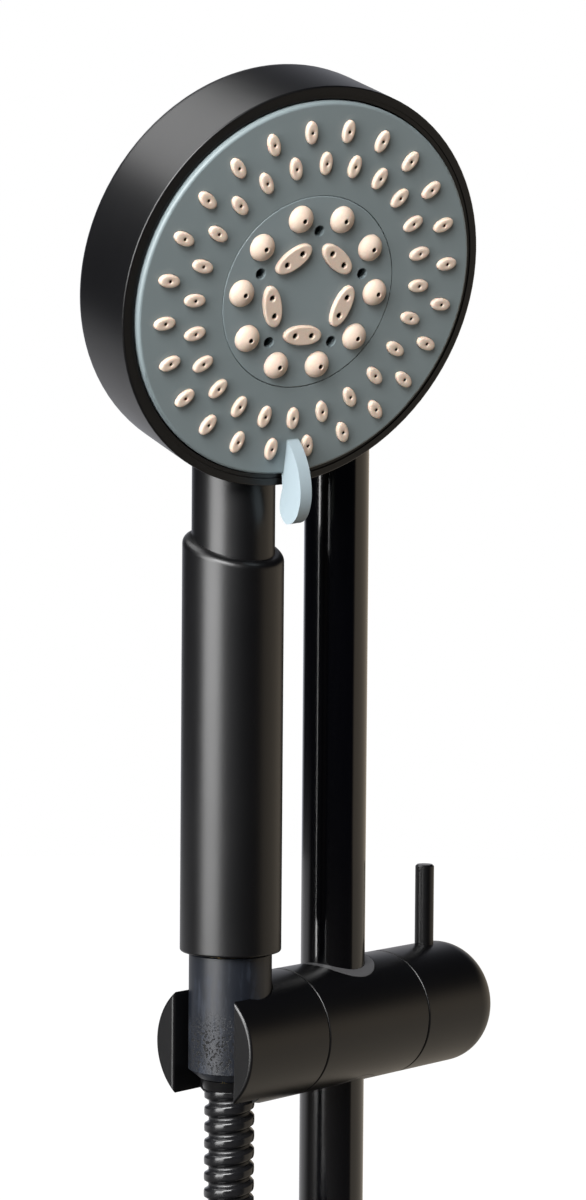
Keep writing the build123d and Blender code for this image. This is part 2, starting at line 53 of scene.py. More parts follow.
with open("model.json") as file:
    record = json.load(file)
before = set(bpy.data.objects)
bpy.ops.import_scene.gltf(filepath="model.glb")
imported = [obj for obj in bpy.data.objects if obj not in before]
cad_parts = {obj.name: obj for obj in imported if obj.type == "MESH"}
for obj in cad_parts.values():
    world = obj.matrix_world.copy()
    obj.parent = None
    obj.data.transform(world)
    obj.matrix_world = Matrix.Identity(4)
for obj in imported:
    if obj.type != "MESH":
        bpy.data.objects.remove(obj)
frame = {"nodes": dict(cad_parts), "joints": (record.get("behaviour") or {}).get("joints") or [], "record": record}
CAD_BOX = [list(corner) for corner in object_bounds()]
JOINTS = {joint["name"]: joint for joint in frame["joints"]}
SOCKET = Vector(JOINTS["handset_swivel"]["pos_m"])      # nut axis at the bracket's height
FACE_ORIGIN = Vector(JOINTS["selector_turn"]["pos_m"])  # on the spray axis, level with the nozzle tips
FACE_AXIS = Vector(JOINTS["selector_turn"]["axis"]).normalized()
FACE_UP = (Vector((0, 0, 1)) - FACE_AXIS * FACE_AXIS.z).normalized()
FACE_RIGHT = FACE_UP.cross(FACE_AXIS)
SLOT_OF = {part["node"]: part["material_slot"] for part in frame["record"]["subparts"]}

MM = 0.001
WHITE = (1.0, 1.0, 1.0)

# Features per metre in the noise of the finishes
SLOW_GLOSS = 45.0
COAT_GRAIN = 2600.0
RAIL_MARKS = 900.0
NUT_WIPES = 700.0
NUT_BLOTCHES = 170.0
NUT_NICKS = 1300.0
PLASTIC_FLOW = 35.0
PLASTIC_SKIN = 5200.0
RUBBER_SPECKLE = 2600.0
HOSE_RUBS = 420.0
HOSE_SKIN = 4200.0
TOOL_MARKS = 2400.0

# Fixed colours of the parts inside, linear
INNER_PLASTIC = (0.62, 0.61, 0.58)
STEEL = (0.56, 0.57, 0.58)
BRASS = (0.72, 0.52, 0.22)
SEAL_RUBBER = (0.018, 0.018, 0.019)
NICK_BLACK = (0.001, 0.001, 0.001)
# Painted shade: the near-black colour painted inside the nozzles' jet holes, where shade falls
JET_PAINTED_SHADE = (0.012, 0.008, 0.006)

# Indices of refraction
PAINT_IOR = 1.5
PLASTIC_IOR = 1.46
NUT_IOR = 1.45
RUBBER_IOR = 1.41

# The lever stands in front of the face, or below the face's edge
LEVER_FRONT = -1.6 * MM
LEVER_DROP = 51.6 * MM

# Nozzles: how many, and the depth of their hidden roots in millimetres
RING_NOZZLES = 24
DOMES = 10
OVALS = 5
ROOT = -5.0
BORE_START = 0.12       # millimetres below a nozzle's tip at which painted shade starts in its jet hole
# Outlines: half length, half width and the power of the superellipse
LENS_OUTLINE = (3.1 * MM, 1.74 * MM, 2.05)
OVAL_OUTLINE = (2.7 * MM, 5.88 * MM, 2.1)
LENS_COLUMNS = 28
DOME_COLUMNS = 32
OVAL_COLUMNS = 96
OVAL_ROWS = 34
# Outer rings of an oval: share of its outline, and height in millimetres; a flat top follows
OVAL_SHARES = (1.0, 1.0, 0.985, 0.95, 0.90)
OVAL_HEIGHTS = (ROOT, -1.3, -0.85, -0.62, -0.53)
OVAL_TOP = -0.5
# Rings of a lens-shaped nozzle: share of its outline, share of its jet hole, height in millimetres
LENS_RINGS = ((1.0, 0, ROOT), (1.0, 0, -1.55), (0.985, 0, -1.22), (0.95, 0, -1.0), (0.88, 0, -0.84),
              (0.74, 0.1, -0.75), (0.44, 0.5, -0.72), (0.13, 1.0, -0.74), (0, 1.1, -0.82),
              (0, 0.95, -1.15), (0, 0.9, -2.3))
DOME_RADIUS = 3.68 * MM
DOME_FOOT = -1.9        # millimetres
DOME_RISE = 2.5         # millimetres
DOME_TOP = 74           # degrees round the cap at which the jet hole starts
# Rings of the domes' jet holes, as in LENS_RINGS
DOME_BORE = ((0.02, 1.15, 0.58), (0, 1.05, 0.5), (0, 1.0, 0.2), (0, 0.9, -1.2))
JET_OFFSET = 2.6 * MM   # of an oval's two jets from its middle
JET_DEPTH = 1.6 * MM
JET_EDGE = 0.07 * MM    # softness of the rim of an oval's jet hole

# Hose: samples to one rib and round the tube, and the shape of a rib's profile
RIB_ROWS = 11
HOSE_COLUMNS = 24
CREST_SHARE = 0.22      # share of the groove's depth in the round crest; the step holds the rest
STEP_START = 0.48
STEP_WIDTH = 0.30
# Heights of the hose's control points from the bracket's middle, in millimetres
FALL = (-12.5, -40.0, -80.0, -112.0, -132.0)
COIL_HEIGHT = -140.0
TAIL = (-150.0, -172.0, -200.0)
PER_TURN = 16

# Studio: floor radii and, for each panel, azimuth in degrees, height and reach in metres,
# width and length in metres, and watts
FLOOR_RADII = (2.6, 1.6, 0.8)
FLOOR_COLUMNS = 64
FLOOR_GAP = 2 * MM
FLOOR_DARK = (0.020, 0.018, 0.016)
FLOOR_DUST = (0.030, 0.027, 0.024)
FLOOR_GLOWS = {"front": (0.010, 0.009, 0.008), "behind": (0.62, 0.62, 0.64),
               "right": (0.52, 0.46, 0.38)}
ROOM_GLOWS = {"dim": (0.012, 0.013, 0.018), "behind": (0.70, 0.72, 0.80),
              "wall": (0.62, 0.53, 0.42)}
CAMERA_REACH = 60.0     # metres
AIM_HEIGHT = 0.08
PANELS = (("side_panel", -95.0, 0.20, 1.5, (1.1, 1.5), 52.0),
          ("high_panel", -66.0, 1.10, 1.5, (1.2, 0.9), 60.0),
          ("top_panel", -150.0, 1.5, 0.9, (1.6, 1.2), 18.0))


# ---- settings a user may change -----------------------------------------------------------
def length(name, description, default):
    """A length property in metres."""
    return bpy.props.FloatProperty(name=name, description=description, default=default,
                                   subtype="DISTANCE", unit="LENGTH", precision=5)


def angle(name, description, degrees):
    """An angle property, given in degrees."""
    return bpy.props.FloatProperty(name=name, description=description, default=radians(degrees),
                                   subtype="ANGLE")


def colour(name, description, red, green, blue):
    """A linear colour property."""
    return bpy.props.FloatVectorProperty(name=name, description=description, subtype="COLOR",
                                         size=3, min=0, max=1, default=(red, green, blue))


class ShowerHoseSettings(bpy.types.PropertyGroup):
    """Sizes of the ribbed hose."""
    diameter: length("Diameter", "Outside diameter over the ribs", 14 * MM)
    pitch: length("Rib pitch", "Distance from one rib to the next", 4.6 * MM)
    groove: length("Groove depth", "Depth of the groove between two ribs", 1.35 * MM)
    coil_radius: length("Coil radius", "Radius of the coil at the hose's centreline", 70 * MM)
    turn_step: length("Turn step", "Distance from one turn of the coil to the next", 14.6 * MM)
    turns: bpy.props.IntProperty(name="Turns", description="Turns in the put-away coil", default=3)


class ShowerFaceSettings(bpy.types.PropertyGroup):
    """Layout of the nozzles on the spray face."""
    selector_turn: angle("Selector turn", "Nozzle pattern from the handle's plane", 5.7)
    centre_turn: angle("Centre turn", "Centre pattern from the handle's plane", 2.8)
    outer_ring: length("Outer ring", "Radius of the outer nozzle ring", 43.95 * MM)
    inner_ring: length("Inner ring", "Radius of the inner nozzle ring", 35.25 * MM)
    dome_ring: length("Dome ring", "Radius of the round nozzles' ring", 21.1 * MM)
    oval_ring: length("Oval ring", "Radius of the twin-jet nozzles' ring", 11.65 * MM)
    jet: length("Jet radius", "Radius of a ring nozzle's jet hole", 0.42 * MM)
    wide_jet: length("Wide jet radius", "Radius of a centre nozzle's jet hole", 0.62 * MM)


class ShowerFinishSettings(bpy.types.PropertyGroup):
    """Colours of the finishes, linear."""
    black: colour("Black coat", "Satin black of the handset and bracket", 0.0010, 0.0010, 0.0013)
    rail: colour("Rail lacquer", "Gloss black of the rail", 0.0006, 0.0006, 0.0012)
    nut: colour("Nut", "Dark blue-grey of the hose nut", 0.0045, 0.006, 0.0095)
    bush: colour("Bush", "Grey plastic lining round the rail", 0.085, 0.085, 0.088)
    face: colour("Spray face", "Slate grey of the spray face", 0.170, 0.206, 0.215)
    # Painted light: the lever's tone is the face's slate made lighter, for the light on its side that faces the
    # lamps
    lever: colour("Lever", "Pale blue-grey of the selector lever", 0.275, 0.335, 0.365)
    nozzle: colour("Nozzles", "Beige-pink silicone", 0.60, 0.475, 0.385)
    hose: colour("Hose", "Gloss black of the hose", 0.005, 0.005, 0.0055)


class ShowerStageSettings(bpy.types.PropertyGroup):
    """Camera and studio."""
    lens: bpy.props.FloatProperty(name="Lens", description="Focal length on a 36 mm long side",
                                  default=89.79)
    azimuth: angle("Azimuth", "Camera direction round the object, 0 from the front", -48.6)
    elevation: angle("Elevation", "Camera height above the level line of sight", 2.5)
    roll: angle("Roll", "Camera turned about its own line of sight", 0.44)
    place: bpy.props.FloatVectorProperty(name="Place", description="Camera from the nut's axis", size=3,
                                         subtype="TRANSLATION", default=(-0.6061, -0.5564, 0.1587))


# ---- material graphs ----------------------------------------------------------------------
class Wire:
    """A socket in a material. Arithmetic on it adds Math nodes."""

    def __init__(self, graph, socket):
        self.graph = graph
        self.socket = socket

    def math(self, operation, *terms):
        """The result of one Math operation on the given terms."""
        return self.graph.node("ShaderNodeMath", {"operation": operation}, dict(enumerate(terms)))

    def __add__(self, other):
        return self.math("ADD", self, other)

    def __sub__(self, other):
        return self.math("SUBTRACT", self, other)

    def __rsub__(self, other):
        return self.math("SUBTRACT", other, self)

    def __mul__(self, other):
        return self.math("MULTIPLY", self, other)

    def above(self, edge, softness):
        """0 below the edge and 1 above it, with a soft step."""
        ramp = self.math("MULTIPLY_ADD", self, 1 / softness, 0.5 - edge / softness)
        return self.math("MINIMUM", self.math("MAXIMUM", ramp, 0.0), 1.0)

    __radd__ = __add__
    __rmul__ = __mul__


class Graph:
    """Builds a tree of nodes: nodes come from node(), numbers from Wire arithmetic."""

    def __init__(self, tree):
        self.tree = tree

    def node(self, kind, settings=None, values=None, output=0):
        """Adds a node, sets it up, feeds its sockets with numbers, colours or wires, and gives
        one of its outputs."""
        made = self.tree.nodes.new(kind)
        for name, value in (settings or {}).items():
            setattr(made, name, value)
        for key, value in (values or {}).items():
            self.feed(made.inputs[key], value)
        return Wire(self, made.outputs[output])

    def feed(self, socket, value):
        """Links a wire to a socket, or sets the socket's own value."""
        if isinstance(value, Wire):
            self.tree.links.new(value.socket, socket)
        else:
            socket.default_value = value

    def mix(self, share, first, second):
        """Colour between two colours."""
        first, second = (value if isinstance(value, Wire) else (*value, 1.0)
                         for value in (first, second))
        settings = {"data_type": "RGBA"}
        return self.node("ShaderNodeMix", settings, {0: share, 6: first, 7: second}, output=2)

    def dot(self, vector, direction):
        """Dot product of a vector with a fixed direction."""
        settings = {"operation": "DOT_PRODUCT"}
        return self.node("ShaderNodeVectorMath", settings, {0: vector, 1: direction}, "Value")

    def camera_ray(self):
        """1 where the camera itself looks at the surface, and 0 for reflections and bounced light."""
        return self.node("ShaderNodeLightPath", output="Is Camera Ray")


class Finish(Graph):
    """One material, with the Principled shader as its surface."""

    def __init__(self, name):
        self.material = bpy.data.materials.new(name)
        self.material.use_nodes = True
        super().__init__(self.material.node_tree)
        self.shader = self.tree.nodes["Principled BSDF"]

    def surface(self, **values):
        """Feeds the main shader, with words joined by underscores for the socket names."""
        for key, value in values.items():
            self.feed(self.shader.inputs[key.replace("_", " ")], value)

    def place(self):
        """Object coordinates, in metres."""
        return self.node("ShaderNodeTexCoord", output="Object")

    def noise(self, scale, detail=2.0, vector=None):
        """Cloudy noise from 0 to 1; scale is features per metre."""
        values = {"Vector": vector or self.place(), "Scale": scale, "Detail": detail}
        return self.node("ShaderNodeTexNoise", None, values)

    def stretched(self, squeeze):
        """Object coordinates that change more slowly upwards, so noise on them makes upright marks."""
        values = {"Vector": self.place(), "Scale": (1.0, 1.0, squeeze)}
        return self.node("ShaderNodeMapping", None, values)

    def mask(self, attribute):
        """A number stored on the piece's own points."""
        return self.node("ShaderNodeAttribute", {"attribute_name": attribute}, None, "Fac")

    def bump(self, height, distance):
        """Normal from a height field; distance is the height of 1, in metres."""
        return self.node("ShaderNodeBump", None, {"Height": height, "Distance": distance})

    def along(self, origin, direction):
        """Distance of the shaded point from an origin, along a direction."""
        settings = {"operation": "SUBTRACT"}
        offset = self.node("ShaderNodeVectorMath", settings, {0: self.place(), 1: origin})
        return self.dot(offset, direction)


def shade(base, factor):
    """A colour made lighter or darker by a factor."""
    return tuple(min(1.0, part * factor) for part in base)


def powder_coat(name, base, roughness):
    """Painted metal or plastic: even colour, fine raised grain, slow changes of gloss."""
    coat = Finish(name)
    slow = coat.noise(SLOW_GLOSS)
    fine = coat.noise(COAT_GRAIN, 3.0)
    coat.surface(Base_Color=coat.mix(fine, shade(base, 0.75), shade(base, 1.3)),
                 Roughness=slow * 0.06 + fine * 0.05 + (roughness - 0.055),
                 Normal=coat.bump(fine, 0.010 * MM), IOR=PAINT_IOR)
    return coat.material


def lacquer(name, base):
    """Smooth gloss coat of the rail, with faint wipe marks along it."""
    gloss = Finish(name)
    marks = gloss.noise(RAIL_MARKS, 4.0, gloss.stretched(0.06))
    gloss.surface(Base_Color=gloss.mix(marks, shade(base, 0.8), shade(base, 1.25)),
                  Roughness=marks * 0.05 + 0.13, Normal=gloss.bump(marks, 0.003 * MM), IOR=PAINT_IOR,
                  Coat_Weight=0.35, Coat_Roughness=0.05)
    return gloss.material


def handled_nut(name, base):
    """Dark nut: upright wipe marks, pale rubs, and dull black nicks round its middle."""
    worn = Finish(name)
    wipes = worn.noise(NUT_WIPES, 5.0, worn.stretched(0.16))
    blotch = worn.noise(NUT_BLOTCHES, 5.0)
    rubs = (blotch * wipes).above(0.31, 0.10)
    height = worn.along(tuple(SOCKET), (0.0, 0.0, 1.0))
    middle = height.above(-6 * MM, 4 * MM) * (1 - height.above(7 * MM, 8 * MM))
    nicks = worn.noise(NUT_NICKS, 3.0).above(0.56, 0.04) * middle
    tone = worn.mix(rubs, base, shade(base, 1.9))
    worn.surface(Base_Color=worn.mix(nicks, tone, NICK_BLACK),
                 Roughness=wipes * 0.16 + blotch * 0.12 + rubs * 0.05 + nicks * 0.5 + 0.27,
                 Normal=worn.bump(wipes * 0.3 - nicks, 0.05 * MM), IOR=NUT_IOR)
    return worn.material


def moulded(name, base, roughness):
    """Moulded plastic: a touch of flow in the colour and a very fine skin."""
    plastic = Finish(name)
    flow = plastic.noise(PLASTIC_FLOW, 3.0)
    skin = plastic.noise(PLASTIC_SKIN)
    plastic.surface(Base_Color=plastic.mix(flow, shade(base, 0.94), shade(base, 1.06)),
                    Roughness=skin * 0.08 + flow * 0.05 + (roughness - 0.06),
                    Normal=plastic.bump(skin, 0.006 * MM), IOR=PLASTIC_IOR)
    return plastic.material


def spray_face(name, base, lever):
    """Slate face whose lever is painted paler: the lever stands in front of the face or past its edge, and its
    lighter slate is painted light for its side that faces the lamps.
    """
    plastic = Finish(name)
    flow = plastic.noise(PLASTIC_FLOW, 3.0)
    skin = plastic.noise(PLASTIC_SKIN)
    height = plastic.along(FACE_ORIGIN, FACE_AXIS)
    drop = plastic.along(FACE_ORIGIN, -FACE_UP)
    lever_light_mask = height.math("MAXIMUM", height.above(LEVER_FRONT, 0.5 * MM),
                        drop.above(LEVER_DROP, 0.3 * MM))
    own = plastic.mix(flow, shade(base, 0.95), shade(base, 1.05))
    # Painted light: where the lever stands, the slate turns to its lighter, lit copy
    plastic.surface(Base_Color=plastic.mix(lever_light_mask, own, lever),
                    Roughness=skin * 0.08 + flow * 0.06 + 0.34,
                    Normal=plastic.bump(skin, 0.006 * MM), IOR=PLASTIC_IOR)
    return plastic.material


def silicone(name, base):
    """Matte nozzle rubber with dusty speckle; painted shade darkens the inside of the jet holes."""
    rubber = Finish(name)
    speckle = rubber.noise(RUBBER_SPECKLE, 4.0)
    bore_shade = rubber.mask("bore_shade")
    skin = rubber.mix(speckle, shade(base, 0.88), shade(base, 1.08))
    # Painted shade: the insides of the jet holes take a near-black colour
    rubber.surface(Base_Color=rubber.mix(bore_shade, skin, JET_PAINTED_SHADE),
                   Roughness=speckle * 0.12 + 0.46, Normal=rubber.bump(speckle, 0.02 * MM),
                   IOR=RUBBER_IOR, Subsurface_Weight=0.12, Subsurface_Scale=0.8 * MM)
    return rubber.material


def ribbed_gloss(name, base):
    """Gloss black hose skin with duller grooves and small pale rubs."""
    skin = Finish(name)
    groove = skin.mask("groove")
    rub = skin.noise(HOSE_RUBS, 5.0)
    fine = skin.noise(HOSE_SKIN)
    skin.surface(Base_Color=skin.mix(rub, shade(base, 0.8), shade(base, 1.8)),
                 Roughness=rub * 0.14 + groove * 0.35 + 0.12,
                 Normal=skin.bump(fine, 0.006 * MM), IOR=PAINT_IOR)
    return skin.material


def bright_metal(name, base, roughness):
    """Bare metal with a fine, cloudy grain."""
    metal = Finish(name)
    turned = metal.noise(TOOL_MARKS, 5.0)
    metal.surface(Base_Color=metal.mix(turned, shade(base, 0.9), shade(base, 1.05)), Metallic=1.0,
                  Roughness=turned * 0.15 + roughness, Normal=metal.bump(turned, 0.004 * MM))
    return metal.material


# ---- mesh helpers -------------------------------------------------------------------------
def full_turn(columns):
    """Angles of evenly spaced columns round a full turn."""
    return 2 * pi * np.arange(columns) / columns


def grid_faces(rows, columns):
    """Quads of a grid that is closed round its columns, facing outwards for rows that go up."""
    index = np.arange(rows * columns).reshape(rows, columns)
    right = np.roll(index, -1, axis=1)
    quads = np.stack([index[:-1], right[:-1], right[1:], index[1:]], axis=-1)
    return quads.reshape(-1, 4)


def pole_faces(ring, pole, flip):
    """Triangles from a closed ring of vertices to one pole."""
    after = np.roll(ring, -1)
    first, second = (after, ring) if flip else (ring, after)
    return np.stack([first, second, np.full(len(ring), pole)], axis=-1)


def end_faces(rows, columns):
    """Triangles that close both ends of a grid whose two poles come after its own points."""
    first = np.arange(columns)
    last = first + (rows - 1) * columns
    pole = rows * columns
    return np.concatenate([pole_faces(first, pole, True), pole_faces(last, pole + 1, False)])


def make_piece(name, points, quads, triangles, material, attribute=None):
    """A smooth mesh object at the origin from whole arrays of points and faces."""
    mesh = bpy.data.meshes.new(name)
    mesh.from_pydata(points.tolist(), [], quads.tolist() + triangles.tolist())
    mesh.polygons.foreach_set("use_smooth", np.ones(len(mesh.polygons), bool))
    if attribute:
        label, values = attribute
        stored = mesh.attributes.new(label, "FLOAT", "POINT")
        stored.data.foreach_set("value", values.astype(np.float32))
    mesh.materials.append(material)
    mesh.update()
    piece = bpy.data.objects.new(name, mesh)
    bpy.context.scene.collection.objects.link(piece)
    return piece


def face_points(radius, turn, local):
    """Moves points of one nozzle to its seat on the spray face.

    local is (n, 3): outwards along the radius, anticlockwise across it, and above the nozzle tips.
    turn is anticlockwise from the top, seen from the front."""
    out = -np.sin(turn) * np.array(FACE_RIGHT) + np.cos(turn) * np.array(FACE_UP)
    across = -np.cos(turn) * np.array(FACE_RIGHT) - np.sin(turn) * np.array(FACE_UP)
    place = np.array(FACE_ORIGIN) + radius * out
    return place + local[:, :1] * out + local[:, 1:2] * across + local[:, 2:] * np.array(FACE_AXIS)


def nub(outline, rings, jet):
    """One nozzle as rings round its axis, closed at both ends.

    Each ring is outline * share + circle * jet * hole at its height, so the outer rings follow the
    nozzle's outline and the inner ones the round jet hole. Returns points, quads, triangles, bore."""
    share, hole, height = np.array(rings).T
    columns = len(outline)
    turn = full_turn(columns)
    circle = np.stack([np.cos(turn), np.sin(turn)], axis=-1) * jet
    flat = share[:, None, None] * outline + hole[:, None, None] * circle
    levels = np.broadcast_to(height[:, None, None] * MM, (*flat.shape[:2], 1))
    points = np.concatenate([flat, levels], axis=-1).reshape(-1, 3)
    poles = np.array([[0, 0, height[0] * MM], [0, 0, height[-1] * MM]])
    # Marks the points deep in the jet hole, which get painted shade
    bore_shade = np.repeat((hole > 0.5) & (height < height.max() - BORE_START), columns)
    return (np.concatenate([points, poles]), grid_faces(len(rings), columns),
            end_faces(len(rings), columns), np.append(bore_shade, [0, 1]))


def rounded(half_length, half_width, power, columns):
    """Superellipse outline |x/a|^p + |y/b|^p = 1, as points round it."""
    turn = full_turn(columns)
    bend = 2 / power
    x = half_length * np.sign(np.cos(turn)) * np.abs(np.cos(turn)) ** bend
    y = half_width * np.sign(np.sin(turn)) * np.abs(np.sin(turn)) ** bend
    return np.stack([x, y], axis=-1)


def gather(parts):
    """Joins several (points, quads, triangles, attribute) sets into one."""
    starts = np.cumsum([0] + [len(part[0]) for part in parts[:-1]])
    points = np.concatenate([part[0] for part in parts])
    quads = np.concatenate([part[1] + start for part, start in zip(parts, starts)])
    triangles = np.concatenate([part[2] + start for part, start in zip(parts, starts)])
    return points, quads, triangles, np.concatenate([part[3] for part in parts])


def on_circle(shape, count, radius, first):
    """Copies of one nozzle set on a circle of the spray face."""
    points, quads, triangles, values = shape
    return gather([(face_points(radius, first + turn, points), quads, triangles, values)
                   for turn in full_turn(count)])


def view_axes(azimuth):
    """Level directions at an azimuth: to the right of the view, and away from the viewer."""
    return (cos(azimuth), sin(azimuth), 0.0), (-sin(azimuth), cos(azimuth), 0.0)


# ---- operators ----------------------------------------------------------------------------
class SHOWER_OT_stage(bpy.types.Operator):
    """Camera, floor, soft light panels and room"""
    bl_idname = "shower.stage"
    bl_label = "Studio"

    def execute(self, context):
        stage = context.scene.shower_stage
        self.camera(context, stage)
        self.floor(stage.azimuth)
        self.lights(context)
        self.room(context, stage.azimuth)
        context.scene.view_settings.view_transform = "Standard"
        return {"FINISHED"}

    def camera(self, context, stage):
        """Level line of sight turned by azimuth and elevation, then rolled about itself."""
        turn = (Matrix.Rotation(stage.azimuth, 4, "Z")
                @ Matrix.Rotation(pi / 2 - stage.elevation, 4, "X"))
        camera = bpy.data.objects.new("camera", bpy.data.cameras.new("camera"))
        camera.data.lens = stage.lens
        camera.data.clip_end = CAMERA_REACH
        camera.matrix_world = (Matrix.Translation(SOCKET + Vector(stage.place)) @ turn
                               @ Matrix.Rotation(stage.roll, 4, "Z"))
        context.scene.collection.objects.link(camera)
        context.scene.camera = camera

    def floor(self, azimuth):
        """Flat disc just under the lowest point of the object: rings of points from its edge to its
        middle, radius * (cos t, sin t).

        The camera sees it white. To the object it is dark in front, warm at the right and pale
        behind."""
        turn = full_turn(FLOOR_COLUMNS)
        radii = np.array(FLOOR_RADII)
        rings = radii[:, None, None] * np.stack([np.cos(turn), np.sin(turn)], axis=-1)
        points = np.concatenate([rings.reshape(-1, 2), [[0, 0]]])
        points = np.column_stack([points, np.full(len(points), CAD_BOX[0][2] - FLOOR_GAP)])
        last = np.arange(FLOOR_COLUMNS) + (len(radii) - 1) * FLOOR_COLUMNS
        pale = Finish("pale_floor")
        drift = pale.noise(3.0)
        right, away = (pale.along(tuple(SOCKET), axis) for axis in view_axes(azimuth))
        lit = right.above(0.06, 0.08) * (away + 0.30 * right).above(0.03, 0.08)
        glow = pale.mix(away.above(0.30, 0.50), FLOOR_GLOWS["front"], FLOOR_GLOWS["behind"])
        glow = pale.mix(lit, glow, FLOOR_GLOWS["right"])
        own = pale.mix(drift, FLOOR_DARK, FLOOR_DUST)
        pale.surface(Base_Color=own, Roughness=0.9, Emission_Strength=1.0,
                     Emission_Color=pale.mix(pale.camera_ray(), glow, WHITE))
        floor = make_piece("floor", points, grid_faces(len(radii), FLOOR_COLUMNS),
                           pole_faces(last, len(points) - 1, False), pale.material)

    def lights(self, context):
        """Two large soft panels at the camera's left, one of them high, and a weak one overhead."""
        aim = SOCKET + Vector((0, 0, AIM_HEIGHT))
        for name, azimuth, height, reach, size, power in PANELS:
            light = bpy.data.lights.new(name, "AREA")
            light.shape = "RECTANGLE"
            light.size, light.size_y = size
            light.energy = power
            lamp = bpy.data.objects.new(name, light)
            turn = radians(azimuth)
            lamp.location = aim + Vector((sin(turn) * reach, -cos(turn) * reach, height))
            lamp.rotation_euler = (aim - lamp.location).to_track_quat("-Z", "Y").to_euler()
            context.scene.collection.objects.link(lamp)

    def room(self, context, azimuth):
        """White where the camera sees it. The object sees a dim room, pale behind and with a warm
        wall at its right that ends a little above level."""
        world = bpy.data.worlds.new("room")
        context.scene.world = world
        world.use_nodes = True
        room = Graph(world.node_tree)
        towards = room.node("ShaderNodeTexCoord", output="Generated")
        right, away, up = (room.dot(towards, axis) for axis in (*view_axes(azimuth), (0, 0, 1)))
        wall = away.above(-0.33, 0.10) * right.above(0.05, 0.2) * (1 - up.above(0.22, 0.25))
        felt = room.mix(away.above(0.86, 0.20), ROOM_GLOWS["dim"], ROOM_GLOWS["behind"])
        felt = room.mix(wall, felt, ROOM_GLOWS["wall"])
        colour_seen = room.mix(room.camera_ray(), felt, WHITE)
        backdrop = room.node("ShaderNodeBackground", None, {"Color": colour_seen})
        room.feed(world.node_tree.nodes["World Output"].inputs["Surface"], backdrop)


class SHOWER_OT_hose(bpy.types.Operator):
    """Ribbed hose: hangs from the nut, winds into a tied coil and ends in its nut"""
    bl_idname = "shower.hose"
    bl_label = "Hose"

    def execute(self, context):
        hose = context.scene.shower_hose
        line = self.line(context, self.route(hose))
        piece = self.ribs(line, hose, context.scene.shower_finish)
        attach(piece, "hose")
        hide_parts("hose_run", "hose_coil", "hose_tail")
        return {"FINISHED"}

    def route(self, hose):
        """Control points from the nut: straight down, the turns stepping to the front, and the tail."""
        fall = [(0, 0, z * MM) for z in FALL]
        control_radius = hose.coil_radius / cos(pi / PER_TURN)
        coil = []
        for step in range(hose.turns * PER_TURN):
            share = (step + 0.5) / PER_TURN
            turn = -2 * pi * share
            coil.append((control_radius * cos(turn) - hose.coil_radius, -share * hose.turn_step,
                         COIL_HEIGHT * MM + control_radius * sin(turn)))
        front = -hose.turns * hose.turn_step
        tail = [(0, front, z * MM) for z in TAIL]
        return [SOCKET + Vector(point) for point in fall + coil + tail]

    def line(self, context, points):
        """Centreline: the points of a quadratic NURBS spline through the route."""
        curve = bpy.data.curves.new("hose_line", "CURVE")
        curve.dimensions = "3D"
        spline = curve.splines.new("NURBS")
        spline.points.add(len(points) - 1)
        for place, point in zip(spline.points, points):
            place.co = (*point, 1.0)
        spline.order_u = 3
        spline.use_endpoint_u = True
        spline.resolution_u = 12
        carrier = bpy.data.objects.new("hose_line", curve)
        context.scene.collection.objects.link(carrier)
        mesh = bpy.data.meshes.new_from_object(carrier)
        line = np.array([vertex.co[:] for vertex in mesh.vertices])
        bpy.data.objects.remove(carrier)
        bpy.data.meshes.remove(mesh)
        return line

    def ribs(self, line, hose, finish):
        """Tube on the centreline: radius = R - groove * s(e), where e = |2 p - 1| is the distance from
        a rib's crest as a share of half a pitch, and s is the round crest (0.22 e^2) plus a smooth
        step down to the groove's floor; p climbs one pitch in each turn round the tube."""
        steps = np.linalg.norm(np.diff(line, axis=0), axis=1)
        run = np.concatenate([[0], np.cumsum(steps)])
        rows, columns = round(run[-1] / hose.pitch * RIB_ROWS), HOSE_COLUMNS
        along = np.linspace(0, run[-1], rows)
        centre = np.stack([np.interp(along, run, line[:, axis]) for axis in range(3)], axis=-1)
        tangent = np.gradient(centre, axis=0)
        tangent /= np.linalg.norm(tangent, axis=1)[:, None]
        side = np.array([0.0, 1.0, 0.0]) - tangent * tangent[:, 1:2]
        side /= np.linalg.norm(side, axis=1)[:, None]
        other = np.cross(tangent, side)
        turn = full_turn(columns)
        phase = (along[:, None] / hose.pitch - turn / (2 * pi)) % 1.0
        edge = np.abs(2 * phase - 1)
        step = np.clip((edge - STEP_START) / STEP_WIDTH, 0, 1)
        smooth = step ** 2 * (3 - 2 * step)
        depth = CREST_SHARE * edge ** 2 + (1 - CREST_SHARE) * smooth
        radius = hose.diameter / 2 - hose.groove * depth
        outwards = (np.cos(turn)[None, :, None] * side[:, None]
                    + np.sin(turn)[None, :, None] * other[:, None])
        points = centre[:, None] + radius[..., None] * outwards
        points = np.concatenate([points.reshape(-1, 3), centre[:1], centre[-1:]])
        groove = np.append((edge ** 8).reshape(-1), [0, 0])
        return make_piece("hose", points, grid_faces(rows, columns), end_faces(rows, columns),
                          ribbed_gloss("hose_skin", finish.hose), ("groove", groove))


class SHOWER_OT_nozzles(bpy.types.Operator):
    """Two rings of lens-shaped silicone nozzles"""
    bl_idname = "shower.nozzles"
    bl_label = "Ring nozzles"

    def execute(self, context):
        face = context.scene.shower_face
        lens = rounded(*LENS_OUTLINE, LENS_COLUMNS)
        shape = nub(lens, LENS_RINGS, face.jet)
        half_step = pi / RING_NOZZLES
        outer = on_circle(shape, RING_NOZZLES, face.outer_ring, face.selector_turn + half_step)
        inner = on_circle(shape, RING_NOZZLES, face.inner_ring, face.selector_turn)
        points, quads, triangles, bore_shade = gather([outer, inner])
        rubber = silicone("nozzle_silicone", context.scene.shower_finish.nozzle)
        piece = make_piece("ring_nozzles", points, quads, triangles, rubber, ("bore_shade", bore_shade))
        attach(piece, "selector")
        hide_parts("nozzle_mat")
        return {"FINISHED"}


